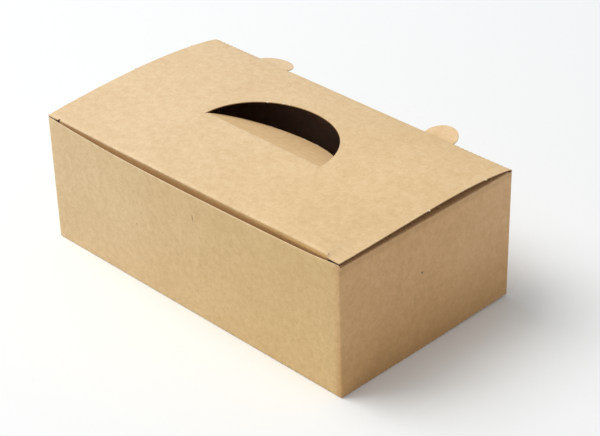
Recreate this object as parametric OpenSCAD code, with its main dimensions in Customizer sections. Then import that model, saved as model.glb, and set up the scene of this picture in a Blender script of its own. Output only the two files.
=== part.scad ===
// Takeaway chicken box: a folded card carton with a tuck-in lid and a push-in hand flap.
// The front is at -Y, the lid's hinge fold is at +Y, and the origin is at the middle of the base.

/* [Box] */
// Length of the box along its front, outside
box_length = 230; // [224:2:250]
// Depth of the box from its front to its hinge fold, outside
box_depth = 130; // [120:2:150]
// Height of the front wall
box_height = 80; // [60:1:100]
// Thickness of the card
board = 0.5; // [0.4:0.05:0.6]
// Outside radius of every fold
fold_radius = 1; // [0.8:0.1:1.5]
// Radius of the bead along each crease that turns
bead_radius = 0.3; // [0.3:0.02:0.4]
// How far the front wall bows out at its top edge
front_bulge = 3.4; // [0:0.1:5]
// Exponent that moves the widest point of the bow towards the left end
bulge_skew = 0.8; // [0.6:0.05:1]

/* [Lid] */
// Height of the lid's front fold above the front wall
front_rise = 1.2; // [1:0.1:2.5]
// How high the lid bows up between its front fold and its hinge
lid_bow = 4.4; // [3:0.1:6]
// Exponent that moves the top of the lid's bow towards the hinge
bow_skew = 1.35; // [1.1:0.05:1.5]
// Gap between each end of the lid and the outside of the end wall
lid_inset = 0.4; // [0.2:0.1:1]
// Depth of the tuck flap below the lid's front fold
tuck_depth = 25; // [18:1:30]
// Corner radius of the tuck flap
tuck_corner = 12; // [5:1:15]
// Length of card outside the locking slit at each end of the front fold
lock_length = 8; // [6:0.5:12]
// Width of each locking slit
slit_width = 1.2; // [0.8:0.1:2]
// How far each locking slit runs into the lid
slit_depth = 2.5; // [1.5:0.5:5]

/* [Vent tabs] */
// Distance between the middles of the two half-round tabs
tab_spacing = 128; // [116:2:130]
// Radius of each half-round tab
tab_radius = 11.8; // [9:0.1:12.5]
// Angle that the left tab tips down, in degrees
left_tab_drop = 17; // [0:1:25]
// Angle that the right tab tips up, in degrees
right_tab_lift = 10; // [0:1:20]

/* [Hand flap] */
// Width of the hand hole along its crease
hand_width = 92; // [80:1:100]
// Depth of the hand hole from its crease to the top of its arc
hand_depth = 41; // [32:1:44]
// Distance of the crease in front of the middle of the lid
crease_offset = 7.2; // [0:0.2:12]
// Angle that the hand flap is pushed down at rest, in degrees
flap_drop = 24; // [0:1:60]

/* [Dust flaps] */
// Length of each dust flap, inward from its end wall
dust_length = 36; // [24:1:38]
// Angle that each dust flap springs up, in degrees
dust_rise = 1.5; // [0:0.25:2]
// Setback of the dust flaps from the front face, which leaves room for the tuck flap
dust_front_gap = 3; // [2.5:0.5:6]
// Setback of the dust flaps from the back face
dust_back_gap = 2.7; // [2:0.1:5]
// How far the front edge of a dust flap slants in
dust_lead = 1.5; // [0:0.5:4]
// How far the back edge of a dust flap slants in
dust_taper = 8; // [8:0.5:14]
// Corner radius of the dust flaps
dust_corner = 5; // [2:0.5:8]

/* [Clearances] */
// Gap along each crease that turns, between its bead and the card beside it
hinge_gap = 0.25; // [0.2:0.05:0.4]
// Gap along the cut edges of the tabs and of the hand flap
cut_gap = 0.3; // [0.2:0.05:0.5]
// Gap between the lid's front fold and the inside of the front wall
tuck_gap = 0.3; // [0.2:0.05:0.6]
// Gap between the lid and the folds of the dust flaps
dust_gap = 0.1; // [0.05:0.05:0.3]

/* [Smoothness] */
// Number of straight steps along each curved sheet
curve_steps = 32; // [16:4:48]

/* [Hidden] */
$fn = 48;
half_length = box_length / 2;
half_depth = box_depth / 2;
inner_fold = fold_radius - board;
hinge_y = half_depth - board / 2;
hinge_z = box_height - board / 2;
back_top = hinge_z - bead_radius - hinge_gap;
side_top = box_height - board - dust_gap;
fold_y = -half_depth + board + tuck_gap + fold_radius;
fold_z = box_height + front_rise - fold_radius;
panel_front = -half_depth + lid_inset;
lid_half = half_length - lid_inset;
slit_outer = lid_half - lock_length;
slit_inner = slit_outer - slit_width;
swing_radius = hinge_y - fold_y + fold_radius;
tuck_lean = asin(tuck_depth / (2 * swing_radius)) + 0.3;
front_mid = box_height + front_rise - board / 2;
lid_run = hinge_y - fold_y;
crease_y = -crease_offset;
crease_z = lid_mid((crease_y - fold_y) / lid_run);
dust_front = -half_depth + dust_front_gap;
dust_back = half_depth - dust_back_gap;
panel_half = half_length - fold_radius - board;
panel_low = fold_radius + board;
kraft = [0.87, 0.75, 0.58];
kraft_front = [0.83, 0.72, 0.55];
kraft_flap = [0.84, 0.71, 0.54];

// Height of the middle of the lid's card, from its front fold at 0 to its hinge at 1
function lid_mid(u) =
    hinge_z
    + (front_mid - hinge_z) * (1 - u)
    + lid_bow * sin(180 * pow(u, bow_skew));

// Slope angle of the lid at the same places
function lid_slope(u) =
    atan((lid_mid(min(u + 0.002, 1)) - lid_mid(max(u - 0.002, 0)))
        / (lid_run * (min(u + 0.002, 1) - max(u - 0.002, 0))));

// One corner point of the lid's section, side is 1 above and -1 below
function lid_point(u, side) =
    let (a = lid_slope(u))
    [fold_y + u * lid_run - side * sin(a) * board / 2, lid_mid(u) + side * cos(a) * board / 2];

// How far the front wall stands out at a place across and up it
function bulge_at(across, up) =
    front_bulge * sin(180 * pow(across, bulge_skew)) * pow(up, 1.3);

// Points on an arc from one angle to another
function arc_points(middle, radius, from, to, steps) =
    [for (i = [0 : steps])
        let (a = from + (to - from) * i / steps)
        [middle[0] + radius * cos(a), middle[1] + radius * sin(a)]];

// Half of an ellipse above its straight edge
function hand_outline(half_width, depth) =
    [for (i = [0 : curve_steps])
        [half_width * cos(180 * i / curve_steps), depth * sin(180 * i / curve_steps)]];

// Section of a tray with rounded bottom corners
module tray_section(width, top, radius) {
    translate([-width / 2, radius])
        square([width, top - radius]);
    translate([-width / 2 + radius, 0])
        square([width - 2 * radius, top]);
    for (side = [-1, 1])
        translate([side * (width / 2 - radius), radius])
            circle(radius);
}

// Solid block with rounded bottom edges and rounded upright corners
module tray_block(length, depth, top, radius) {
    rotate([90, 0, 0])
        linear_extrude(depth - 2 * radius, center = true)
            tray_section(length, top, radius);
    rotate([90, 0, 90])
        linear_extrude(length - 2 * radius, center = true)
            tray_section(depth, top, radius);
    for (x = [-1, 1], y = [-1, 1])
        translate([x * (length / 2 - radius), y * (depth / 2 - radius), 0])
            rotate_extrude() {
                translate([0, radius])
                    square([radius, top - radius]);
                intersection() {
                    translate([0, radius])
                        circle(radius);
                    square(2 * radius);
                }
            }
}

// Base and four walls as one folded sheet
module folded_walls() {
    difference() {
        tray_block(box_length, box_depth, box_height, fold_radius);
        translate([0, 0, board])
            tray_block(box_length - 2 * board, box_depth - 2 * board, box_height, inner_fold);
    }
}

// Bowed panel of the front wall, from its bottom fold to its cut top edge
module front_panel() {
    columns = curve_steps;
    rows = 8;
    face = [for (j = [0 : rows], i = [0 : columns])
        let (across = i / columns, up = j / rows)
        [-panel_half + 2 * panel_half * across,
         -half_depth - bulge_at(across, up),
         panel_low + (box_height - panel_low) * up]];
    count = len(face);
    back = [for (p = face) [p[0], p[1] + board, p[2]]];
    wide = columns + 1;
    front_tris = [for (j = [0 : rows - 1], i = [0 : columns - 1])
        let (a = j * wide + i)
        each [[a, a + wide, a + 1], [a + 1, a + wide, a + wide + 1]]];
    back_tris = [for (t = front_tris) [t[2] + count, t[1] + count, t[0] + count]];
    bottom_tris = [for (i = [0 : columns - 1])
        each [[i, i + 1, i + count], [i + 1, i + 1 + count, i + count]]];
    top_tris = [for (i = [0 : columns - 1])
        let (a = rows * wide + i)
        each [[a + 1, a, a + count], [a + 1, a + count, a + 1 + count]]];
    left_tris = [for (j = [0 : rows - 1])
        let (a = j * wide)
        each [[a + wide, a, a + count], [a + wide, a + count, a + wide + count]]];
    right_tris = [for (j = [0 : rows - 1])
        let (a = j * wide + columns)
        each [[a, a + wide, a + count], [a + wide, a + wide + count, a + count]]];
    polyhedron(
        points = concat(face, back),
        faces = concat(front_tris, back_tris, bottom_tris, top_tris, left_tris, right_tris));
}

// Outline of a dust flap seen from above, with its fold along the Y axis
module dust_outline() {
    inner = -dust_length + dust_corner;
    polygon(concat(
        [[2 * fold_radius, dust_back], [0, dust_back]],
        arc_points([inner, dust_back - dust_taper - dust_corner], dust_corner, 90, 180, 8),
        arc_points([inner, dust_front + dust_lead + dust_corner], dust_corner, 180, 270, 8),
        [[0, dust_front], [2 * fold_radius, dust_front]]));
}

// Section through a dust flap and its rounded fold, from the wall below it
module dust_section() {
    along = [cos(dust_rise), -sin(dust_rise)];
    up = [sin(dust_rise), cos(dust_rise)];
    polygon(concat(
        [[fold_radius, -2 * board]],
        arc_points([0, 0], fold_radius, 0, 90 - dust_rise, 10),
        [fold_radius * up - 2 * dust_length * along, inner_fold * up - 2 * dust_length * along],
        arc_points([0, 0], inner_fold, 90 - dust_rise, 0, 10),
        [[inner_fold, -2 * board]]));
}

// Dust flap of the right end wall
module dust_flap() {
    translate([half_length - fold_radius, 0, side_top - fold_radius])
        intersection() {
            rotate([90, 0, 0])
                linear_extrude(box_depth, center = true)
                    dust_section();
            translate([0, 0, -box_height / 2])
                linear_extrude(box_height)
                    dust_outline();
        }
}

// Whole box below the lid, folded from one sheet
module box_body() {
    color(kraft_front) {
        difference() {
            folded_walls();
            translate([-panel_half, -half_depth - board, panel_low])
                cube([2 * panel_half, 3 * board, box_height]);
            translate([-box_length, dust_back, back_top])
                cube([2 * box_length, box_depth, box_height]);
            for (side = [-1, 1])
                translate([side * half_length, dust_front, side_top - fold_radius - board])
                    translate([-2 * fold_radius, 0, 0])
                        cube([4 * fold_radius, dust_back - dust_front, box_height]);
            for (side = [-1, 1])
                translate([side * tab_spacing / 2, half_depth + board, hinge_z])
                    rotate([90, 0, 0])
                        cylinder(r = tab_radius + cut_gap, h = 3 * board);
        }
        front_panel();
        dust_flap();
        mirror([1, 0, 0])
            dust_flap();
    }
}

// Outline of the lid seen from above, with the locking slits
module lid_outline() {
    half = [[slit_inner, fold_y],
        [slit_inner, fold_y + slit_depth],
        [slit_outer, fold_y + slit_depth],
        [slit_outer, panel_front],
        [lid_half, panel_front],
        [lid_half, half_depth + board]];
    other = [for (i = [len(half) - 1 : -1 : 0]) [-half[i][0], half[i][1]]];
    polygon(concat(half, other));
}

// Bowed section of the lid in its true thickness
module lid_section() {
    steps = curve_steps;
    upper = [for (i = [0 : steps]) lid_point(i / steps, 1)];
    lower = [for (i = [steps : -1 : 0]) lid_point(i / steps, -1)];
    polygon(concat(
        [[panel_front - board, front_mid + board / 2]],
        upper,
        lower,
        [[panel_front - board, front_mid - board / 2]]));
}

// Bowed panel with its hand hole
module lid_panel() {
    difference() {
        intersection() {
            rotate([90, 0, 90])
                linear_extrude(2 * lid_half, center = true)
                    lid_section();
            linear_extrude(2 * box_height)
                lid_outline();
        }
        translate([0, crease_y, 0])
            linear_extrude(2 * box_height) {
                polygon(hand_outline(hand_width / 2, hand_depth));
                translate([-hand_width / 2, -bead_radius - hinge_gap])
                    square([hand_width, 2 * bead_radius + hinge_gap]);
            }
    }
}

// Section through the first steps of the panel, its front fold and the tuck flap below
module tuck_section() {
    middle = [fold_y, fold_z];
    out = [-cos(tuck_lean), -sin(tuck_lean)];
    end = middle + 2 * tuck_depth * [sin(tuck_lean), -cos(tuck_lean)];
    polygon(concat(
        [for (i = [2 : -1 : 1]) lid_point(i / curve_steps, 1)],
        arc_points(middle, fold_radius, 90, 180 + tuck_lean, 10),
        [end + fold_radius * out, end + inner_fold * out],
        arc_points(middle, inner_fold, 180 + tuck_lean, 90, 10),
        [for (i = [1 : 2]) lid_point(i / curve_steps, -1)]));
}

// Tuck flap, leaning in so that its edge swings clear of the front wall
module tuck_flap() {
    wide = 2 * slit_inner;
    intersection() {
        rotate([90, 0, 90])
            linear_extrude(wide + 2, center = true)
                tuck_section();
        translate([0, 0, fold_z])
            rotate([90, 0, 0])
                linear_extrude(box_depth, center = true) {
                    translate([-wide / 2, -tuck_depth + tuck_corner])
                        square([wide, 2 * tuck_depth]);
                    translate([-wide / 2 + tuck_corner, -tuck_depth])
                        square([wide - 2 * tuck_corner, tuck_depth]);
                    for (side = [-1, 1])
                        translate([side * (wide / 2 - tuck_corner), -tuck_depth + tuck_corner])
                            circle(tuck_corner);
                }
    }
}

// Half-round tab that stands out past the hinge fold
module vent_tab(x, tip) {
    translate([x, hinge_y, hinge_z])
        rotate([tip, 0, 0])
            linear_extrude(board, center = true)
                intersection() {
                    circle(tab_radius);
                    translate([-tab_radius, 0])
                        square([2 * tab_radius, 2 * tab_radius]);
                }
}

// Lid with its tuck flap and tabs, folded from the same sheet
module lid() {
    color(kraft) {
        lid_panel();
        tuck_flap();
        translate([-lid_half, hinge_y, hinge_z])
            rotate([0, 90, 0])
                cylinder(r = bead_radius, h = 2 * lid_half);
        vent_tab(-tab_spacing / 2, -left_tab_drop);
        vent_tab(tab_spacing / 2, right_tab_lift);
    }
}

// Hand flap pushed down from its crease
module handle_flap() {
    half_width = hand_width / 2 - cut_gap;
    color(kraft_flap)
        translate([0, crease_y, crease_z])
            rotate([-flap_drop, 0, 0]) {
                linear_extrude(board, center = true)
                    polygon(hand_outline(half_width, hand_depth - cut_gap));
                translate([-half_width, 0, 0])
                    rotate([0, 90, 0])
                        cylinder(r = bead_radius, h = 2 * half_width);
            }
}

box_body();
lid();
handle_flap();
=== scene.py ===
import bpy
import math
import numpy as np
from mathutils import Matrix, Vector, noise
from mathutils.geometry import delaunay_2d_cdt


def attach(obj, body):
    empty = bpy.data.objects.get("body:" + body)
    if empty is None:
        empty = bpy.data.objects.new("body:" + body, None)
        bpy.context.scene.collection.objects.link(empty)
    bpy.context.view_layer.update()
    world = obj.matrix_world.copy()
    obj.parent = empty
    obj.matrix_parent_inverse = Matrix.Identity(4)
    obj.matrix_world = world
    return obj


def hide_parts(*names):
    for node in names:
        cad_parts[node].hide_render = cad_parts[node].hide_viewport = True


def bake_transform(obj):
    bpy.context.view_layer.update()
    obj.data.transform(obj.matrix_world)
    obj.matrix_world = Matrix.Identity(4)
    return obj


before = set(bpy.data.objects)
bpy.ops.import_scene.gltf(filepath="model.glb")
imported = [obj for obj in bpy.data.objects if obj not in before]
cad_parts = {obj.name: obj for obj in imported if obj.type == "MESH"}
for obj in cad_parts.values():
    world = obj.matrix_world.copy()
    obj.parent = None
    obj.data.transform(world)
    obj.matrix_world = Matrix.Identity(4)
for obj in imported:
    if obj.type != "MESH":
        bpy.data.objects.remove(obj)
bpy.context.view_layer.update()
print("frame loaded")

mm = 0.001

# the carton, in millimetres, as the frame has it
carton = {
    "length": 230.0,
    "depth": 130.0,
    "height": 80.0,
    "board": 0.5,
    "hingeY": 64.75,
    "hingeZ": 79.75,
    "hingeStrip": 1.3,      # card beside the hinge line, left out of the lid and the walls and drawn in the hinge fold
}
halfX = carton["length"] / 2
halfY = carton["depth"] / 2

# camera, in metres and radians, with its lens in millimetres
camera = {
    "place": (0.6778218, -0.6275804, 0.5993111),
    "turn": (1.0186530, 0.0255741, 0.7932077),
    "lens": 116.379,
    "sensor": 36.0,
    "farthest": 20.0,
}


def makeCamera():
    data = bpy.data.cameras.new("photoCamera")
    data.lens = camera["lens"]
    data.sensor_width = camera["sensor"]
    data.sensor_fit = "HORIZONTAL"
    data.clip_end = camera["farthest"]
    seat = bpy.data.objects.new("photoCamera", data)
    seat.location = camera["place"]
    seat.rotation_euler = camera["turn"]
    bpy.context.scene.collection.objects.link(seat)
    bpy.context.scene.camera = seat


makeCamera()


# small helpers
def clamp(value, low=0.0, high=1.0):
    return min(max(value, low), high)


def ease(t):
    t = clamp(t)
    return t * t * (3 - 2 * t)


def lerp(a, b, t):
    return a + (b - a) * t


def arcPoints(cx, cy, rx, ry, fromAngle, toAngle, steps):
    points = []
    for i in range(steps + 1):
        a = math.radians(lerp(fromAngle, toAngle, i / steps))
        points.append((cx + rx * math.cos(a), cy + ry * math.sin(a)))
    return points


def gridLines(*stretches):
    # grid lines from (from, to, step) stretches
    values = []
    for low, high, step in stretches:
        count = max(1, int(round((high - low) / step)))
        values += [lerp(low, high, i / count) for i in range(count)]
    values.append(stretches[-1][1])
    return values


# how card is cut into a mesh
cutting = {
    "nearRim": 0.16,      # a grid point this close to the rim is left out: grid steps, squared
    "merge": 1e-5,
    "shortest": 1e-6,
    "probe": 0.04,        # millimetres either way when the slope is felt
    "sharp": 35,          # degrees
    "mapUnit": 100.0,     # millimetres of sheet in one unit of the map
}


def withSteps(loop, step):
    # closed loop with no stretch longer than step
    points = []
    for i, here in enumerate(loop):
        there = loop[(i + 1) % len(loop)]
        gap = math.dist(here, there)
        if gap < cutting["shortest"]:
            continue
        count = max(1, int(math.ceil(gap / step)))
        for k in range(count):
            t = k / count
            points.append((lerp(here[0], there[0], t), lerp(here[1], there[1], t)))
    return points


def insideLoops(points, loops):
    # even and odd crossings, for all the points at once
    x, y = points[:, 0], points[:, 1]
    inside = np.zeros(len(points), bool)
    for loop in loops:
        starts = np.array(loop)
        ends = np.roll(starts, -1, axis=0)
        for (ax, ay), (bx, by) in zip(starts, ends):
            if ay == by:
                continue
            crosses = (ay > y) != (by > y)
            inside ^= crosses & (x < (bx - ax) * (y - ay) / (by - ay) + ax)
    return inside


def cutFlat(loops, uLines, vLines):
    # flat faces that fill an outline with holes, with the grid's points inside it
    rim = np.array([p for loop in loops for p in loop])
    edges = []
    start = 0
    for loop in loops:
        edges += [(start + i, start + (i + 1) % len(loop)) for i in range(len(loop))]
        start += len(loop)
    uu, vv = np.meshgrid(np.array(uLines), np.array(vLines))
    grid = np.stack([uu.ravel(), vv.ravel()], axis=1)
    grid = grid[insideLoops(grid, loops)]
    du = np.interp(grid[:, 0], uLines[:-1], np.diff(uLines))
    dv = np.interp(grid[:, 1], vLines[:-1], np.diff(vLines))
    keep = np.ones(len(grid), bool)
    for px, py in rim:
        away = ((grid[:, 0] - px) / du) ** 2 + ((grid[:, 1] - py) / dv) ** 2
        keep &= away > cutting["nearRim"]
    grid = grid[keep]
    flat = [Vector((float(p[0]), float(p[1]))) for p in np.concatenate([rim, grid])]
    points, _, faces, _, _, _ = delaunay_2d_cdt(flat, edges, [], 0, cutting["merge"])
    points = np.array([(p.x, p.y) for p in points])
    middles = np.array([points[list(f)].mean(axis=0) for f in faces])
    return points, [f for f, ok in zip(faces, insideLoops(middles, loops)) if ok]


def foldPoints(points, place):
    # both sides of the card, where place(u, v) puts its outer face
    outer, inner = [], []
    h = cutting["probe"]
    for u, v in points:
        here = Vector(place(u, v))
        along = Vector(place(u + h, v)) - Vector(place(u - h, v))
        up = Vector(place(u, v + h)) - Vector(place(u, v - h))
        normal = along.cross(up).normalized()
        outer.append(here * mm)
        inner.append((here - normal * carton["board"]) * mm)
    return [tuple(p) for p in outer + inner]


def cardFaces(points, faces):
    # faces of the outer side, the inner side and the cut edge, with the finish of each
    count = len(points)
    cardSides, finishes = [], []
    borders = {}
    for face in faces:
        first, second, third = (points[i] for i in face[:3])
        along, across = second - first, third - first
        ring = list(face) if along[0] * across[1] - along[1] * across[0] > 0 else list(face)[::-1]
        cardSides.append(ring)
        finishes.append(0)
        cardSides.append([i + count for i in ring[::-1]])
        finishes.append(1)
        for i in range(len(ring)):
            edge = (ring[i], ring[(i + 1) % len(ring)])
            borders[edge] = borders.get(edge, 0) + 1
    for a, b in list(borders):
        if (b, a) not in borders:
            cardSides.append([b, a, a + count, b + count])
            finishes.append(2)
    return cardSides, finishes


def cutSheet(name, loops, uLines, vLines, place, finishes, step):
    # cuts a flat outline with holes, then folds it with place(u, v) and gives it its thickness
    loops = [withSteps(loop, step) for loop in loops]
    points, faces = cutFlat(loops, uLines, vLines)
    cardSides, slots = cardFaces(points, faces)
    mesh = bpy.data.meshes.new(name)
    mesh.from_pydata(foldPoints(points, place), [], cardSides)
    mesh.polygons.foreach_set("material_index", slots)
    layer = mesh.uv_layers.new(name="sheet")
    both = np.concatenate([points, points]) / cutting["mapUnit"]
    corner = np.zeros(len(mesh.loops), int)
    mesh.loops.foreach_get("vertex_index", corner)
    layer.data.foreach_set("uv", both[corner].ravel())
    mesh.polygons.foreach_set("use_smooth", [True] * len(mesh.polygons))
    mesh.set_sharp_from_angle(angle=math.radians(cutting["sharp"]))
    for finish in finishes:
        mesh.materials.append(finish)
    mesh.update()
    piece = bpy.data.objects.new(name, mesh)
    bpy.context.scene.collection.objects.link(piece)
    print("cut", name, len(cardSides), "faces")
    return piece


# lid surface, shared by the lid and what sits under it
lidForm = {
    # height of the front fold above the wall, from the left end to the right
    "frontAt": (0, 0.1, 0.25, 0.35, 0.45, 0.55, 0.7, 0.8, 0.93, 1),
    "frontRise": (0.3, 0.28, 0.35, 0.75, 1.1, 1.55, 2.15, 3.1, 3.7, 3.7),
    "cornerDrop": (0.1, 1.45),      # how far the left and right corners hang below that line
    "dropFrom": 88.0,         # where the drop begins, away from the front
    "dropBeside": 0.2,        # where it begins beside the slit, and over what width
    "dropWidth": 1.6,
    "dropBlend": 0.15,        # share of the lid's depth over which one turns into the other
    "bowLeft": 4.7,
    "bowRight": 3.2,
    "skewLeft": 1.3,
    "skewRight": 1.8,
    "fullLeft": 0.66,         # below 1 gives a fuller, flatter bow
    "fullRight": 0.75,
    "straightFront": 0.05,    # the bow runs straight before and after these shares
    "straightBack": 0.97,
    "foldY": -63.2,
    "foldRadius": 0.85,
    "half": 114.6,
    "slitOuter": 106.2,
    "slitInner": 105.6,
    "slitDepth": 0.15,
    "slitCorners": (0.3, 0.45, 0.35),
    "rawFront": -64.9,
    "tuckDepth": 25.0,
    "tuckCorner": 12.0,
    "tuckCornerSteps": 12,
    "tuckLean": (1.5, 8.8),      # just below the fold, from the left half to the right end
    "tuckLeanFrom": 20.0,
    "tuckLeanOver": 65.0,
    "tuckLeanLow": 7.3,       # further down
    "tuckBend": 5.0,
    "edgeBurrs": ((43.8, 0.7, 0.7), (0.3, 0.7, 0.7)),      # place along the edge, half width, height
    "tabs": ((-65.8, 11.4, -12.1), (63.5, 10.6, 12.8)),      # place, radius, tilt
    "tabFoot": 0.25,
    "tabSteps": 36,
    "ripple": 0.10,
    "rippleScale": (0.02, 0.025),
    "rippleDraw": 3.1,
    "rippleFront": 1 / 6,     # shares of the depth over which it grows from the folds
    "rippleBack": 1 / 8,
}

handHole = {
    "middleX": -1.2,
    "creaseY": -7.2,
    "halfWidth": 44.7,
    "reach": 40.7,
    "gap": 0.45,
    "sideGap": 0.3,
    "strip": 1.2,       # card beside the crease, left out of the lid and the flap and drawn in the flap fold
    "drop": 24.3,
    "arcSteps": 96,
    # torn stubs of the cut: angle round the arc, half width in degrees, height
    "holeBurrs": ((129, 0.9, 0.4), (117, 0.8, 0.2), (112, 0.5, 0.3)),
    "flapBurrs": ((123, 1.0, 0.42), (116.2, 0.9, 0.2), (95.2, 0.8, 0.4), (81.8, 0.9, 0.4)),
}


def bowShape(u, skew, full):
    # 0 at both folds and 1 at the top, with straight runs beside the folds
    front, back = lidForm["straightFront"], lidForm["straightBack"]

    def raw(t):
        return max(math.sin(math.pi * t ** skew), 0.0) ** full

    if u < front:
        return raw(front) * max(u, 0.0) / front
    if u > back:
        return raw(back) * max(1 - u, 0.0) / (1 - back)
    return raw(u)


def lidTop(x, y):
    form = lidForm
    s = clamp(x / carton["length"] + 0.5)
    u = (y - form["foldY"]) / (carton["hingeY"] - form["foldY"])
    away = 1 - max(u, 0.0)
    front = float(np.interp(s, form["frontAt"], form["frontRise"])) * away
    # a corner drops at once beside its slit, and bends down gently further back
    sharp = ease((abs(x) - form["slitInner"] + form["dropBeside"]) / form["dropWidth"])
    gentle = ease((abs(x) - form["dropFrom"]) / (form["half"] - form["dropFrom"]))
    drop = lerp(sharp, gentle, ease(u / form["dropBlend"]))
    front -= form["cornerDrop"][0 if x < 0 else 1] * away * drop
    left = form["bowLeft"] * bowShape(u, form["skewLeft"], form["fullLeft"])
    right = form["bowRight"] * bowShape(u, form["skewRight"], form["fullRight"])
    acrossX, acrossY = form["rippleScale"]
    ripple = form["ripple"] * noise.noise(Vector((x * acrossX, y * acrossY, form["rippleDraw"])))
    ripple *= ease(u / form["rippleFront"]) * ease((1 - u) / form["rippleBack"])
    return carton["height"] + front + lerp(left, right, s) + ripple


# card: colours and the grain in it
kraft = {
    "lid": (0.878, 0.649, 0.391),
    "flap": (0.880, 0.600, 0.305),
    "walls": (0.850, 0.620, 0.355),
    "inside": (0.560, 0.370, 0.265),
    "wallEdge": (0.930, 0.740, 0.480),
    # painted shade: the lid's cut edges get a darker tone than the other cut edges, for the shade they lie
    # in
    "shadedLidEdge": (0.700, 0.480, 0.270),
    "flapEdge": (0.950, 0.790, 0.560),
    "torn": (1.000, 0.940, 0.860),
    "fleck": (0.300, 0.190, 0.100),
    "lighter": (1.09, 1.14, 1.22),
    "lightest": 0.97,
    "darker": (0.80, 0.74, 0.66),
    "plain": 0.45,            # how much of the plain tone stays
    "shadeSpan": (0.36, 0.64),
    # each grain has its scale, detail, roughness and share of the shade
    "broad": (28, 2, 0.5, 0.14),
    "mottle": (230, 3, 0.6, 0.30),
    "pulp": (640, 4, 0.65, 0.30),
    "grit": (1700, 3, 0.7, 0.26),
    # fibres run four ways: each has its turn in degrees and its stretch
    "fibres": ((12, (9, 95, 1)), (64, (11, 120, 1)), (118, (8, 100, 1)), (158, (10, 110, 1))),
    "fibreGrain": (6.0, 2, 0.55),
    "fibreSpan": (0.64, 0.74),
    "fibreStrength": 0.16,
    "fleckScale": 42,
    "fleckGrain": (9, 1, 0.5),
    "fleckSize": (0.10, 0.035),      # what the grain adds, and what is taken off
    "fleckStrength": 0.35,
    "markSpan": (0.4, 1.1),
    "specular": 0.22,
    "rough": (0.77, 0.16),      # least, and what the pulp adds
    "bump": 0.25,
    "bumpDepth": 0.00012,
    "bumpShares": {"grit": 0.6, "fibre": -0.35, "pulp": 0.8},
    # painted light and shade on the sheet, as tints: each takes over where all its stretches are full,
    # measured along the sheet in decimetres
    "lidLightAndShade": (
        # painted shade: the lid darker and yellower towards its right end, where the light falls off
        ((0.973, 0.945, 0.857), ("X", -1.0, 1.0)),
        ((1.05, 1.05, 1.08), ("Y", -1.262, -1.272), ("Y", -1.296, -1.284)),      # painted highlight along the front fold
        ((1.05, 0.90, 0.66), ("Y", -1.289, -1.303)),      # painted shade on the tuck flap, warmer and darker
        ((1.05, 1.05, 1.09), ("Y", 0.0, 0.02)),      # painted light: the tabs paler and cooler than the lid
    ),
    "wallLightAndShade": (
        ((0.924, 0.879, 0.732), ("X", 1.3, 3.5)),      # painted shade: front wall darker and yellower towards the right, where the light falls off
        ((0.980, 0.862, 0.885), ("X", 3.52, 3.60)),      # painted shade: the right wall, facing away from the light, darker and warmer
        ((0.850, 0.800, 0.700), ("X", 3.52, 3.60), ("Y", 0.55, 0.02)),      # painted shade: the right wall's lower part, darker towards the bottom
        ((1.085, 1.120, 1.190), ("X", 4.15, 4.85)),      # painted light: the right wall paler and cooler towards its far end
        ((1.060, 1.060, 1.090), ("Y", 0.772, 0.778), ("Y", 0.797, 0.791)),      # painted highlight along the top folds and edges
        ((0.900, 0.890, 0.870), ("X", 3.52, 3.60), ("Y", 0.730, 0.765)),      # painted shade on the right wall just below its top fold
        ((1.300, 1.500, 1.720), ("X", 3.52, 3.60), ("Y", 0.86, 1.00)),      # inner part of its dust flap, lifted back out of the right wall's painted shade
    ),
}


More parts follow.
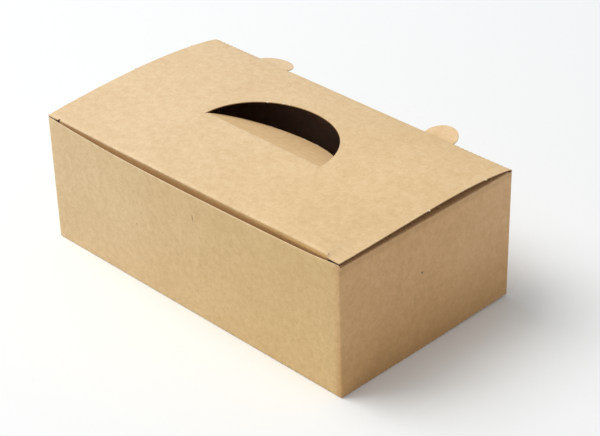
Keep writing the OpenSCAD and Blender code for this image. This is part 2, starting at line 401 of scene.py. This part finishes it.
def kraftMaterial(name, tone, marks=(), paintedLight=()):
    light = tuple(min(c * s, kraft["lightest"]) for c, s in zip(tone, kraft["lighter"]))
    dark = tuple(c * s for c, s in zip(tone, kraft["darker"]))
    material = bpy.data.materials.new(name)
    material.use_nodes = True
    nodes, links = material.node_tree.nodes, material.node_tree.links
    nodes.clear()
    out = nodes.new("ShaderNodeOutputMaterial")
    shader = nodes.new("ShaderNodeBsdfPrincipled")
    shader.inputs["Specular IOR Level"].default_value = kraft["specular"]
    links.new(shader.outputs[0], out.inputs[0])
    place = nodes.new("ShaderNodeTexCoord")
    sheet = nodes.new("ShaderNodeUVMap")
    sheet.uv_map = "sheet"

    def maths(kind, a, b):
        node = nodes.new("ShaderNodeMath")
        node.operation = kind
        for socket, value in zip(node.inputs, (a, b)):
            if isinstance(value, (int, float)):
                socket.default_value = value
            else:
                links.new(value, socket)
        return node.outputs[0]

    def cloud(source, grain):
        node = nodes.new("ShaderNodeTexNoise")
        node.inputs["Scale"].default_value = grain[0]
        node.inputs["Detail"].default_value = grain[1]
        node.inputs["Roughness"].default_value = grain[2]
        links.new(source, node.inputs["Vector"])
        return node.outputs["Fac"]

    def fibre(source, turn, stretch):
        # the turn comes before the stretch
        turned, stretched = nodes.new("ShaderNodeMapping"), nodes.new("ShaderNodeMapping")
        turned.inputs["Rotation"].default_value = (0, 0, math.radians(turn))
        stretched.inputs["Scale"].default_value = stretch
        links.new(source, turned.inputs[0])
        links.new(turned.outputs[0], stretched.inputs[0])
        return fade(cloud(stretched.outputs[0], kraft["fibreGrain"]), *kraft["fibreSpan"])

    def fade(value, low, high):
        node = nodes.new("ShaderNodeMapRange")
        node.interpolation_type = "SMOOTHSTEP"
        node.inputs["From Min"].default_value = low
        node.inputs["From Max"].default_value = high
        links.new(value, node.inputs["Value"])
        return node.outputs["Result"]

    def mix(factor, a, b, blend="MIX"):
        node = nodes.new("ShaderNodeMix")
        node.data_type = "RGBA"
        node.blend_type = blend
        for socket, value in ((node.inputs[0], factor), (node.inputs[6], a), (node.inputs[7], b)):
            if isinstance(value, (int, float)):
                socket.default_value = value
            elif isinstance(value, tuple):
                socket.default_value = (*value, 1)
            else:
                links.new(value, socket)
        return node.outputs[2]

    def vector(kind, source, amounts=None):
        node = nodes.new("ShaderNodeVectorMath")
        node.operation = kind
        links.new(source, node.inputs[0])
        if amounts:
            node.inputs[1].default_value = amounts
        return node

    spot, flat = place.outputs["Object"], sheet.outputs[0]
    grains = {key: cloud(spot, kraft[key]) for key in ("broad", "mottle", "pulp", "grit")}
    shade = 0.0
    for key, grain in grains.items():
        shade = maths("ADD", shade, maths("MULTIPLY", grain, kraft[key][3]))
    colour = mix(fade(shade, *kraft["shadeSpan"]), dark, light)
    colour = mix(kraft["plain"], colour, tone)

    split = nodes.new("ShaderNodeSeparateXYZ")
    links.new(flat, split.inputs[0])
    # painted light and shade: each tint multiplies the card's tone where all its stretches reach
    for paintedTone, *stretches in paintedLight:
        reach = 1.0
        for axis, low, high in stretches:
            reach = maths("MULTIPLY", fade(split.outputs[axis], low, high), reach)
        colour = mix(reach, colour, paintedTone, "MULTIPLY")

    strands = [fibre(flat, turn, stretch) for turn, stretch in kraft["fibres"]]
    darker = maths("MAXIMUM", strands[0], strands[2])
    paler = maths("MAXIMUM", strands[1], strands[3])
    colour = mix(maths("MULTIPLY", darker, kraft["fibreStrength"]), colour, dark)
    colour = mix(maths("MULTIPLY", paler, kraft["fibreStrength"]), colour, light)

    dots = nodes.new("ShaderNodeTexVoronoi")
    dots.inputs["Scale"].default_value = kraft["fleckScale"]
    links.new(flat, dots.inputs["Vector"])
    grows, less = kraft["fleckSize"]
    size = maths("MULTIPLY", cloud(flat, kraft["fleckGrain"]), grows)
    fleck = maths("LESS_THAN", dots.outputs["Distance"], maths("SUBTRACT", size, less))
    colour = mix(maths("MULTIPLY", fleck, kraft["fleckStrength"]), colour, kraft["fleck"])

    for x, y, z, wide, tall, strength in marks:
        away = vector("SUBTRACT", spot, (x * mm, y * mm, z * mm)).outputs[0]
        squashed = vector("MULTIPLY", away, (1000 / wide, 1000 / wide, 1000 / tall)).outputs[0]
        far = vector("LENGTH", squashed).outputs["Value"]
        near = maths("SUBTRACT", 1.0, fade(far, *kraft["markSpan"]))
        tip = kraft["fleck"] if strength > 0 else kraft["torn"]
        colour = mix(maths("MULTIPLY", near, abs(strength)), colour, tip)
    links.new(colour, shader.inputs["Base Color"])

    least, spread = kraft["rough"]
    rough = maths("ADD", maths("MULTIPLY", grains["pulp"], spread), least)
    links.new(rough, shader.inputs["Roughness"])
    shares = kraft["bumpShares"]
    relief = maths("MULTIPLY", grains["grit"], shares["grit"])
    relief = maths("ADD", relief, maths("MULTIPLY", darker, shares["fibre"]))
    relief = maths("ADD", relief, maths("MULTIPLY", grains["pulp"], shares["pulp"]))
    bump = nodes.new("ShaderNodeBump")
    bump.inputs["Strength"].default_value = kraft["bump"]
    bump.inputs["Distance"].default_value = kraft["bumpDepth"]
    links.new(relief, bump.inputs["Height"])
    links.new(bump.outputs[0], shader.inputs["Normal"])
    return material


# small marks on the card: place, width, height, strength, which is below 0 for a pale mark
wallMarks = [
    (8.3, -67.4, 64.8, 0.45, 2.8, 0.9),
    (-40.4, -66.6, 40.1, 0.7, 0.7, 0.9),
    (115.0, -4.6, 48.4, 1.0, 1.0, 1.0),
]
lidMark = (82.2, 32.5, 84.0, 0.7, 0.7, 0.3)
# pale torn fibres at each stub: width for each degree of the arc, height, strength
holeFibre = (1.2, 1.0, -0.9)
flapFibre = (1.3, 1.0, -1.0)
edgeFibre = (0.9, 0.9, -0.7)      # the first is its whole width


def fibreMark(spot, wide, fibre):
    return (*spot, fibre[0] * wide, *fibre[1:])


def holeMarks():
    hole = handHole
    marks = []
    for at, wide, _ in hole["holeBurrs"]:
        x = hole["middleX"] + hole["halfWidth"] * math.cos(math.radians(at))
        y = hole["creaseY"] + hole["reach"] * math.sin(math.radians(at))
        marks.append(fibreMark((x, y, lidTop(x, y)), wide, holeFibre))
    return marks


def flapMarks():
    hole = handHole
    drop = math.radians(hole["drop"])
    marks = []
    for at, wide, _ in hole["flapBurrs"]:
        x = hole["middleX"] + hole["halfWidth"] * math.cos(math.radians(at))
        w = (hole["reach"] - carton["board"]) * math.sin(math.radians(at))
        y = hole["creaseY"] + w * math.cos(drop)
        z = lidTop(x, hole["creaseY"]) - w * math.sin(drop)
        marks.append(fibreMark((x, y, z), wide, flapFibre))
    return marks


def edgeMarks():
    half = lidForm["half"]
    return [fibreMark((half, at, lidTop(half, at)), 1, edgeFibre) for at, _, _ in lidForm["edgeBurrs"]]


wallCard = kraftMaterial("wallCard", kraft["walls"], wallMarks, kraft["wallLightAndShade"])
lidCard = kraftMaterial("lidCard", kraft["lid"], holeMarks() + edgeMarks() + [lidMark], kraft["lidLightAndShade"])
flapCard = kraftMaterial("flapCard", kraft["flap"], flapMarks())
insideCard = kraftMaterial("insideCard", kraft["inside"])
# each piece has a finish for its outer side, its inner side and its cut edge
wallFinishes = [wallCard, insideCard, kraftMaterial("wallEdge", kraft["wallEdge"])]
# the lid's cut edge takes the darker, painted-shade edge tone
lidFinishes = [lidCard, insideCard, kraftMaterial("shadedLidEdge", kraft["shadedLidEdge"])]
flapFinishes = [flapCard, insideCard, kraftMaterial("flapEdge", kraft["flapEdge"])]
print("card finishes made")


# box below the lid
body = {
    "foldRadius": 0.8,
    "cornerRadius": 0.9,
    "bulge": 3.3,
    "bulgeSkew": 0.8,
    "bulgeRise": 1.3,
    # height of the front wall's top edge, from its left end to its right
    "topAt": (0, 0.25, 0.45, 0.75, 0.88, 0.94, 0.965, 1),
    "topHeight": (79.05, 78.75, 79.05, 79.3, 79.35, 79.75, 80.4, 80.85),
    "topSteps": 40,
    "backLean": 0.9,          # how far the back wall leans out at its top right
    "leanFrom": -20.0,        # where the lean begins along the right wall, and over what run
    "leanOver": 85.0,
    "footLift": 0.9,          # how far the base is lifted at its back right corner
    "footReach": 75.0,
    "footFade": 40.0,
    "sideTop": 79.4,
    "cornerTop": 79.0,
    "cornerShare": 0.5,       # share of a back corner over which its top comes down
    "dustRadius": 0.65,
    "dustFront": -62.2,
    "dustBack": 62.3,
    "dustLength": 36.0,
    "dustLead": 1.5,
    "dustTaper": 8.0,
    "dustCorner": 5.0,
    "dustCornerSteps": 8,
    "dustSlit": 0.2,
    "dustRiseLeft": 0.5,
    "dustRiseRight": 0.3,
    "dustRiseFront": 0.8,     # share of the rise at the front, growing to the whole of it
    "dustRiseFrom": -62.0,
    "dustRiseOver": 40.0,
    "dustFlatten": 3.0,
    "ventGap": 0.3,
    "ventSteps": 28,
    "ripple": 0.12,
    "rippleScale": (0.018, 0.018, 0.025),
    "rippleFade": 25.0,
    # mesh steps along the walls, round the corners, at the folds and between them
    "wallStep": 3.0,
    "cornerStep": 0.42,
    "footStep": 0.3,
    "nearFootStep": 1.0,
    "topFoldStep": 0.22,
    "nearFoot": 4.0,          # how far the close rows reach from each fold
    "belowFold": 2.0,
    "aboveFold": 2.2,
    "dustRows": 40.0,
    "baseStep": 8.0,
}
cornerRadius, footRadius = body["cornerRadius"], body["foldRadius"]
sideRun = carton["depth"] - 2 * cornerRadius
frontRun = carton["length"] - 2 * cornerRadius
cornerRun = cornerRadius * math.pi / 2
wallStarts = [0.0]
for run in (sideRun, cornerRun, frontRun, cornerRun) * 2:
    wallStarts.append(wallStarts[-1] + run)


def ringPoint(s):
    # outline of the box seen from above: left, front, right and back walls with round corners
    wall = 0
    while wall < 7 and s > wallStarts[wall + 1]:
        wall += 1
    t = s - wallStarts[wall]
    if wall == 0:
        return -halfX, halfY - cornerRadius - t, -1.0, 0.0, wall
    if wall == 2:
        return -halfX + cornerRadius + t, -halfY, 0.0, -1.0, wall
    if wall == 4:
        return halfX, -halfY + cornerRadius + t, 1.0, 0.0, wall
    if wall == 6:
        return halfX - cornerRadius - t, halfY, 0.0, 1.0, wall
    signX, signY, start = {1: (-1, -1, 180), 3: (1, -1, 270), 5: (1, 1, 0), 7: (-1, 1, 90)}[wall]
    angle = math.radians(start + 90 * t / cornerRun)
    nx, ny = math.cos(angle), math.sin(angle)
    x = signX * (halfX - cornerRadius) + cornerRadius * nx
    y = signY * (halfY - cornerRadius) + cornerRadius * ny
    return x, y, nx, ny, wall


def frontTop(x):
    return float(np.interp((x + halfX) / carton["length"], body["topAt"], body["topHeight"]))


def backLean(x):
    return body["backLean"] * clamp((x + halfX) / carton["length"]) ** 2


def leanShare(y):
    return clamp((y - body["leanFrom"]) / body["leanOver"])


def footLift(x, y):
    return body["footLift"] * ease(1 - math.hypot(x - halfX, y - halfY) / body["footReach"])


def frontBulge(x, z):
    across = clamp((x + halfX - cornerRadius) / frontRun)
    up = clamp(z / carton["height"])
    return body["bulge"] * math.sin(math.pi * across ** body["bulgeSkew"]) * up ** body["bulgeRise"]


def wallRipple(x, y, z, wall):
    # a slight wave in the flat walls, gone at their edges
    if wall % 2:
        return 0.0
    fromEdge = halfX - abs(x) if wall in (2, 6) else halfY - abs(y)
    edge = ease(z / body["rippleFade"]) * ease(fromEdge / body["rippleFade"])
    sx, sy, sz = body["rippleScale"]
    return body["ripple"] * edge * noise.noise(Vector((x * sx, y * sy, z * sz)))


def dustFold(y, z, out, wall):
    # card above a side wall's top fold lies down over the food as the dust flap
    radius = body["dustRadius"]
    start = body["sideTop"] - radius
    if wall not in (0, 4) or z <= start:
        return out, z
    rise = body["dustRiseLeft"] if wall == 0 else body["dustRiseRight"]
    rise *= lerp(body["dustRiseFront"], 1.0, ease((y - body["dustRiseFrom"]) / body["dustRiseOver"]))
    past = z - start
    full = math.radians(90 - rise)
    turned = min(past / radius, full)
    over = max(0.0, past - radius * full)
    inset = radius * (1 - math.cos(turned)) + over * math.cos(math.radians(rise))
    z = start + radius * math.sin(turned) + over * math.sin(math.radians(rise))
    return out * (1 - ease(over / body["dustFlatten"])) - inset, z


def bodyPlace(s, h):
    # s runs round the walls, h up the card from the bottom fold
    x, y, nx, ny, wall = ringPoint(s)
    if h < 0:
        turned = min(-h / footRadius, math.pi / 2)
        z = footRadius - footRadius * math.sin(turned)
        inset = footRadius * (1 - math.cos(turned)) + max(0.0, -h - footRadius * math.pi / 2)
        return (x - nx * inset, y - ny * inset, z + footLift(x, y))
    z = footRadius + h
    out = frontBulge(x, z) if wall == 2 else 0.0
    lean = backLean(x) * clamp(z / carton["height"]) * leanShare(y)
    out += wallRipple(x, y, z, wall)
    out, z = dustFold(y, z, out, wall)
    z += footLift(x, y) * clamp(1 - z / body["footFade"])
    return (x + nx * out, y + ny * out + lean, z)


# where a place on each wall lies round the ring
def backS(x):
    return wallStarts[6] + (halfX - cornerRadius - x)


def rightS(y):
    return wallStarts[4] + (y + halfY - cornerRadius)


def frontS(x):
    return wallStarts[2] + (x + halfX - cornerRadius)


def leftS(y):
    return halfY - cornerRadius - y


bodyLow = -footRadius * math.pi / 2
bodyFold = body["sideTop"] - body["dustRadius"] - footRadius


def dustLoop(placeS):
    # the dust flap's outline from its front end to its back end
    front, back, corner = body["dustFront"], body["dustBack"], body["dustCorner"]
    root = bodyFold + body["dustRadius"] * math.pi / 2
    tip = root + body["dustLength"]
    lead, taper = front + body["dustLead"] + corner, back - body["dustTaper"] - corner
    loop = [(front - body["dustSlit"], bodyFold), (front, bodyFold), (front, root)]
    steps = body["dustCornerSteps"]
    loop += arcPoints(lead, tip - corner, corner, corner, 180, 90, steps)
    loop += arcPoints(taper, tip - corner, corner, corner, 90, 0, steps)
    loop += [(back, root), (back, bodyFold), (back + body["dustSlit"], bodyFold)]
    return [(placeS(y), h) for y, h in loop]


def bodyOutline():
    strip = carton["hingeStrip"]
    backTop = carton["hingeZ"] - strip - footRadius
    cornerTop = body["cornerTop"] - footRadius
    end = halfX - cornerRadius
    points = [(0.0, bodyLow), (wallStarts[8], bodyLow)]
    # back wall from its left end to its right end, with the two vent notches
    points.append((wallStarts[8], cornerTop))
    points.append((wallStarts[8] - cornerRun * body["cornerShare"], backTop))
    for middle, radius, _ in lidForm["tabs"]:
        notch = radius + body["ventGap"]
        dip = math.degrees(math.asin(strip / notch))
        for dx, dz in arcPoints(0, 0, notch, notch, 180 + dip, 360 - dip, body["ventSteps"]):
            points.append((backS(middle + dx), carton["hingeZ"] + dz - footRadius))
    points.append((wallStarts[5] + cornerRun * body["cornerShare"], backTop))
    points.append((wallStarts[5], cornerTop))
    # right wall with its dust flap
    points.append((rightS(body["dustBack"] + body["dustSlit"]), cornerTop))
    points += dustLoop(rightS)[::-1]
    top = frontTop(end) - footRadius
    points.append((rightS(body["dustFront"] - body["dustSlit"]), top))
    points.append((wallStarts[3], top))
    # front wall
    for i in range(body["topSteps"], -1, -1):
        x = lerp(-end, end, i / body["topSteps"])
        points.append((frontS(x), frontTop(x) - footRadius))
    # left wall with its dust flap
    top = frontTop(-end) - footRadius
    points.append((wallStarts[1], top))
    points.append((leftS(body["dustFront"] - body["dustSlit"]), top))
    points += dustLoop(leftS)
    points.append((leftS(body["dustBack"] + body["dustSlit"]), cornerTop))
    points.append((0.0, cornerTop))
    return points


def makeWalls():
    steps = (body["wallStep"], body["cornerStep"])
    below, above = bodyFold - body["belowFold"], bodyFold + body["aboveFold"]
    around = gridLines(*((wallStarts[k], wallStarts[k + 1], steps[k % 2]) for k in range(8)))
    up = gridLines(
        (bodyLow, 0, body["footStep"]),
        (0, body["nearFoot"], body["nearFootStep"]),
        (body["nearFoot"], below, body["wallStep"]),
        (below, above, body["topFoldStep"]),
        (above, bodyFold + body["dustRows"], body["wallStep"]),
    )
    return cutSheet("boxWalls", [bodyOutline()], around, up, bodyPlace, wallFinishes, 2.0)


def basePlace(u, v):
    # mirrored so that its outer face looks down
    return (-u, v, footLift(-u, v))


def makeBase():
    rx, ry, radius = halfX - footRadius, halfY - footRadius, cornerRadius - footRadius
    loop = []
    for signX, signY, start in ((1, -1, 270), (1, 1, 0), (-1, 1, 90), (-1, -1, 180)):
        middle = (signX * (rx - radius), signY * (ry - radius))
        loop += arcPoints(*middle, radius, radius, start, start + 90, 4)
    mirrored = [(-x, y) for x, y in loop][::-1]
    across, along = gridLines((-rx, rx, body["baseStep"])), gridLines((-ry, ry, body["baseStep"]))
    return cutSheet("boxBase", [mirrored], across, along, basePlace, wallFinishes, 4.0)


def makeBody():
    walls, base = makeWalls(), makeBase()
    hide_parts("box_body")
    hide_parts("box_body")
    for piece in (walls, base):
        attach(piece, "box")


makeBody()
print("box below the lid made")


# lid with its tuck flap and tabs
def lidPlace(x, v):
    # v runs from the hinge line at 0 to the front fold and down the tuck flap, below 0
    form = lidForm
    y = carton["hingeY"] + v
    if v > 0:
        tilt = math.radians(form["tabs"][0 if x < 0 else 1][2])
        foot = carton["hingeZ"] + carton["board"] / 2
        return (x, carton["hingeY"] + backLean(x) + v * math.cos(tilt), foot + v * math.sin(tilt))
    if y > form["foldY"] or abs(x) > (form["slitInner"] + form["slitOuter"]) / 2:
        return (x, y + backLean(x) * leanShare(y), lidTop(x, y))
    past = form["foldY"] - y
    radius = form["foldRadius"]
    lean = lerp(*form["tuckLean"], ease((x - form["tuckLeanFrom"]) / form["tuckLeanOver"]))
    full = math.radians(90 + lean)
    turned = min(past / radius, full)
    y = form["foldY"] - radius * math.sin(turned)
    z = lidTop(x, form["foldY"]) - radius + radius * math.cos(turned)
    over = max(0.0, past - radius * full)
    near = min(over, form["tuckBend"])
    for run, tilt in ((near, lean), (over - near, form["tuckLeanLow"])):
        y += run * math.sin(math.radians(tilt))
        z -= run * math.cos(math.radians(tilt))
    return (x, y, z)


def burrOnEdge(x, at, wide, high):
    # a torn stub on a straight edge that runs towards the front
    return [(x, at + wide), (x + high, at + wide * 0.4), (x + high * 0.8, at - wide * 0.5), (x, at - wide)]


def arcWithBurrs(cx, cy, rx, ry, fromAngle, toAngle, steps, burrs, grow):
    # an arc with the little torn stubs left by the cutting die: each has an angle, half width and height
    marks = [(lerp(fromAngle, toAngle, i / steps), 0.0) for i in range(steps + 1)]
    for at, wide, high in burrs:
        marks = [m for m in marks if abs(m[0] - at) > wide * 1.2]
        marks += [(at - wide, 0.0), (at - wide * 0.5, high), (at + wide * 0.3, high * 0.8), (at + wide, 0.0)]
    marks.sort(key=lambda m: m[0], reverse=toAngle < fromAngle)
    points = []
    for angle, high in marks:
        a = math.radians(angle)
        points.append((cx + (rx + grow * high) * math.cos(a), cy + (ry + grow * high) * math.sin(a)))
    return points


def lidOutline():
    form = lidForm
    back = -carton["hingeStrip"]
    fold = form["foldY"] - carton["hingeY"]
    raw = form["rawFront"] - carton["hingeY"]
    roll = form["foldRadius"] * math.radians(90 + form["tuckLean"][0])
    deep = fold - roll - form["tuckDepth"]
    corner = form["tuckCorner"]
    outer, inner, depth = form["slitOuter"], form["slitInner"], form["slitDepth"]
    mouth, outerEnd, innerEnd = form["slitCorners"]
    right = [(form["half"], back)]
    for at, wide, high in form["edgeBurrs"]:
        right += burrOnEdge(form["half"], at - carton["hingeY"], wide, high)
    right += [(form["half"], raw), (outer, raw), (outer - mouth, fold + depth * 0.4)]
    right += [(outer - outerEnd, fold + depth), (inner + innerEnd, fold + depth), (inner, fold)]
    right += arcPoints(inner - corner, deep + corner, corner, corner, 0, -90, form["tuckCornerSteps"])
    left = [(-x, v) for x, v in right[::-1]]
    loop = right + left
    for middle, radius, _ in form["tabs"]:
        loop.append((middle - radius - form["tabFoot"], back))
        arc = arcPoints(0, 0, radius, radius, 180, 0, form["tabSteps"])
        loop += [(middle + dx, dv) for dx, dv in arc]
        loop.append((middle + radius + form["tabFoot"], back))
    return loop[::-1]


def holeOutline():
    hole = handHole
    base = hole["creaseY"] - carton["hingeY"]
    middle, wide = hole["middleX"], hole["halfWidth"]
    loop = arcWithBurrs(middle, base, wide, hole["reach"], 0, 180, hole["arcSteps"], hole["holeBurrs"], -1)
    loop.append((middle - wide + hole["sideGap"], base - hole["strip"]))
    loop.append((middle + wide - hole["sideGap"], base - hole["strip"]))
    return loop


def makeLid():
    fold = lidForm["foldY"] - carton["hingeY"]
    # finer at the front fold and at the hinge
    along = gridLines(
        (fold - 27, fold - 2.2, 3.0),
        (fold - 2.2, fold, 0.2),
        (fold, fold + 6, 1.0),
        (fold + 6, -6, 2.6),
        (-6, -1.5, 0.75),
        (-1.5, 1.5, 0.3),
        (1.5, 12, 1.2),
    )
    across = gridLines((-lidForm["half"], lidForm["half"], 2.8))
    piece = cutSheet("lidSheet", [lidOutline(), holeOutline()], across, along, lidPlace, lidFinishes, 1.6)
    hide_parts("lid")
    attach(piece, "lid")


makeLid()
print("lid made")


# hand flap
def flapPlace(x, w):
    hole = handHole
    drop = math.radians(hole["drop"])
    top = lidTop(x, hole["creaseY"])
    return (x, hole["creaseY"] + w * math.cos(drop), top - w * math.sin(drop))


def makeFlap():
    hole = handHole
    wide, reach = hole["halfWidth"] - hole["gap"], hole["reach"] - hole["gap"]
    first = math.degrees(math.asin(hole["strip"] / reach))
    ends = (first, 180 - first)
    loop = arcWithBurrs(hole["middleX"], 0, wide, reach, *ends, hole["arcSteps"], hole["flapBurrs"], 1)
    across, along = gridLines((-48, 46, 2.5)), gridLines((1.0, 42, 2.0))
    piece = cutSheet("handFlap", [loop], across, along, flapPlace, flapFinishes, 1.5)
    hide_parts("handle_flap")
    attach(piece, "hand_flap")


makeFlap()
print("hand flap made")


# bent card along the two creases that turn
creases = {
    "hingeRun": 2.0,        # card between the wall and the lid
    "hingePull": 2.5,       # a higher pull gives a tighter fold
    "hingeSlope": 0.5,      # millimetres over which the lid's slope is felt
    "hingeSideGap": 0.3,
    "flapRun": 2.4,
    "flapSideGap": 0.05,
    "past": 0.02,           # how far the curve may run past its ends
}


def curvePoint(a, b, c, t, pull=1.0):
    # a curve from a to c that turns near b, more tightly with more pull
    t = clamp(t, -creases["past"], 1 + creases["past"])
    first, middle, last = (1 - t) ** 2, 2 * pull * t * (1 - t), t * t
    whole = first + middle + last
    return tuple((first * p + middle * q + last * r) / whole for p, q, r in zip(a, b, c))


def hingePlace(u, t):
    # u runs backwards so that the outer face looks out
    x = -u
    lidY = carton["hingeY"] - carton["hingeStrip"]
    wallZ = carton["hingeZ"] - carton["hingeStrip"]
    back = halfY + backLean(x)
    top = lidTop(x, lidY)
    slope = (lidTop(x, lidY - creases["hingeSlope"]) - top) / creases["hingeSlope"]
    corner = (x, back, top - (back - lidY) * slope)
    ends = ((x, back, wallZ), (x, lidY + backLean(x), top))
    return curvePoint(ends[0], corner, ends[1], t / creases["hingeRun"], creases["hingePull"])


def makeHingeFold():
    # in three parts, between and beside the tabs
    run, half, gap = creases["hingeRun"], lidForm["half"], creases["hingeSideGap"]
    ends = [-half]
    for middle, radius, _ in lidForm["tabs"]:
        ends += [middle - radius - gap, middle + radius + gap]
    ends.append(half)
    for number, (low, high) in enumerate(zip(ends[::2], ends[1::2])):
        loop = [(-low, run), (-high, run), (-high, 0), (-low, 0)]
        across, along = gridLines((-high, -low, 3.0)), gridLines((0, run, 0.1))
        piece = cutSheet("hingeFold%d" % number, [loop], across, along, hingePlace, lidFinishes, 3.0)
        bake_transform(piece)


def flapFoldPlace(x, t):
    hole = handHole
    y = hole["creaseY"] - hole["strip"]
    start = (x, y, lidTop(x, y))
    corner = (x, hole["creaseY"], lidTop(x, hole["creaseY"]))
    return curvePoint(start, corner, flapPlace(x, hole["strip"]), t / creases["flapRun"])


def makeFlapFold():
    hole = handHole
    run, strip = creases["flapRun"], hole["strip"]
    wide = hole["halfWidth"] - hole["gap"] - creases["flapSideGap"]
    low, high = hole["middleX"] - wide, hole["middleX"] + wide
    loop = [(low, 0), (high, 0), (high, run), (low, run)]
    across, along = gridLines((low, high, 2.5)), gridLines((0, run, 0.2))
    piece = cutSheet("flapFold", [loop], across, along, flapFoldPlace, lidFinishes, 2.5)
    _, endY, endZ = flapPlace(0, strip)
    startZ = lidTop(0, hole["creaseY"])
    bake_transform(piece)


makeHingeFold()
makeFlapFold()
print("crease folds made")


# floor and light, in metres and watts
studio = {
    "floorHalf": 6,
    "floor": (0.965, 0.985, 0.98),
    "floorLift": (0.042, 0.040, 0.040),      # only what is seen directly, mirrored or through something
    "floorRough": 0.9,
    "floorSpecular": 0.1,
    "world": (0.90, 0.935, 0.965),
    "worldStrength": 0.405,
    "keyPlace": (-1.344, -0.832, 2.728),
    "keyAim": (0, 0, 0.04),
    "keySize": 2.2,
    "keyPower": 75.0,
    "keyColour": (1.0, 0.985, 0.975),
}


def makeFloor():
    half = studio["floorHalf"]
    corners = [(-half, -half, 0), (half, -half, 0), (half, half, 0), (-half, half, 0)]
    mesh = bpy.data.meshes.new("floor")
    mesh.from_pydata(corners, [], [(0, 1, 2, 3)])
    floor = bpy.data.objects.new("floor", mesh)
    bpy.context.scene.collection.objects.link(floor)
    paper = bpy.data.materials.new("floorPaper")
    paper.use_nodes = True
    nodes, links = paper.node_tree.nodes, paper.node_tree.links
    shader = nodes["Principled BSDF"]
    shader.inputs["Base Color"].default_value = (*studio["floor"], 1)
    shader.inputs["Roughness"].default_value = studio["floorRough"]
    shader.inputs["Specular IOR Level"].default_value = studio["floorSpecular"]
    # a white floor: it has a little brightness of its own, which puts no light on the box
    path = nodes.new("ShaderNodeLightPath")
    seen = path.outputs["Is Camera Ray"]
    for ray in ("Is Glossy Ray", "Is Transmission Ray"):
        either = nodes.new("ShaderNodeMath")
        either.operation = "MAXIMUM"
        links.new(seen, either.inputs[0])
        links.new(path.outputs[ray], either.inputs[1])
        seen = either.outputs[0]
    shader.inputs["Emission Color"].default_value = (*studio["floorLift"], 1)
    links.new(seen, shader.inputs["Emission Strength"])
    mesh.materials.append(paper)


def makeWorld():
    world = bpy.data.worlds.new("studioWorld")
    world.use_nodes = True
    back = world.node_tree.nodes["Background"]
    back.inputs[0].default_value = (*studio["world"], 1)
    back.inputs[1].default_value = studio["worldStrength"]
    bpy.context.scene.world = world


def makeKeyLight():
    data = bpy.data.lights.new("keyLight", "AREA")
    data.shape = "RECTANGLE"
    data.size = data.size_y = studio["keySize"]
    data.energy = studio["keyPower"]
    data.color = studio["keyColour"]
    lamp = bpy.data.objects.new("keyLight", data)
    lamp.location = studio["keyPlace"]
    towards = Vector(studio["keyAim"]) - Vector(studio["keyPlace"])
    lamp.rotation_euler = towards.to_track_quat("-Z", "Y").to_euler()
    bpy.context.scene.collection.objects.link(lamp)


makeFloor()
makeWorld()
makeKeyLight()
bpy.context.scene.view_settings.view_transform = "Standard"
print("studio made")
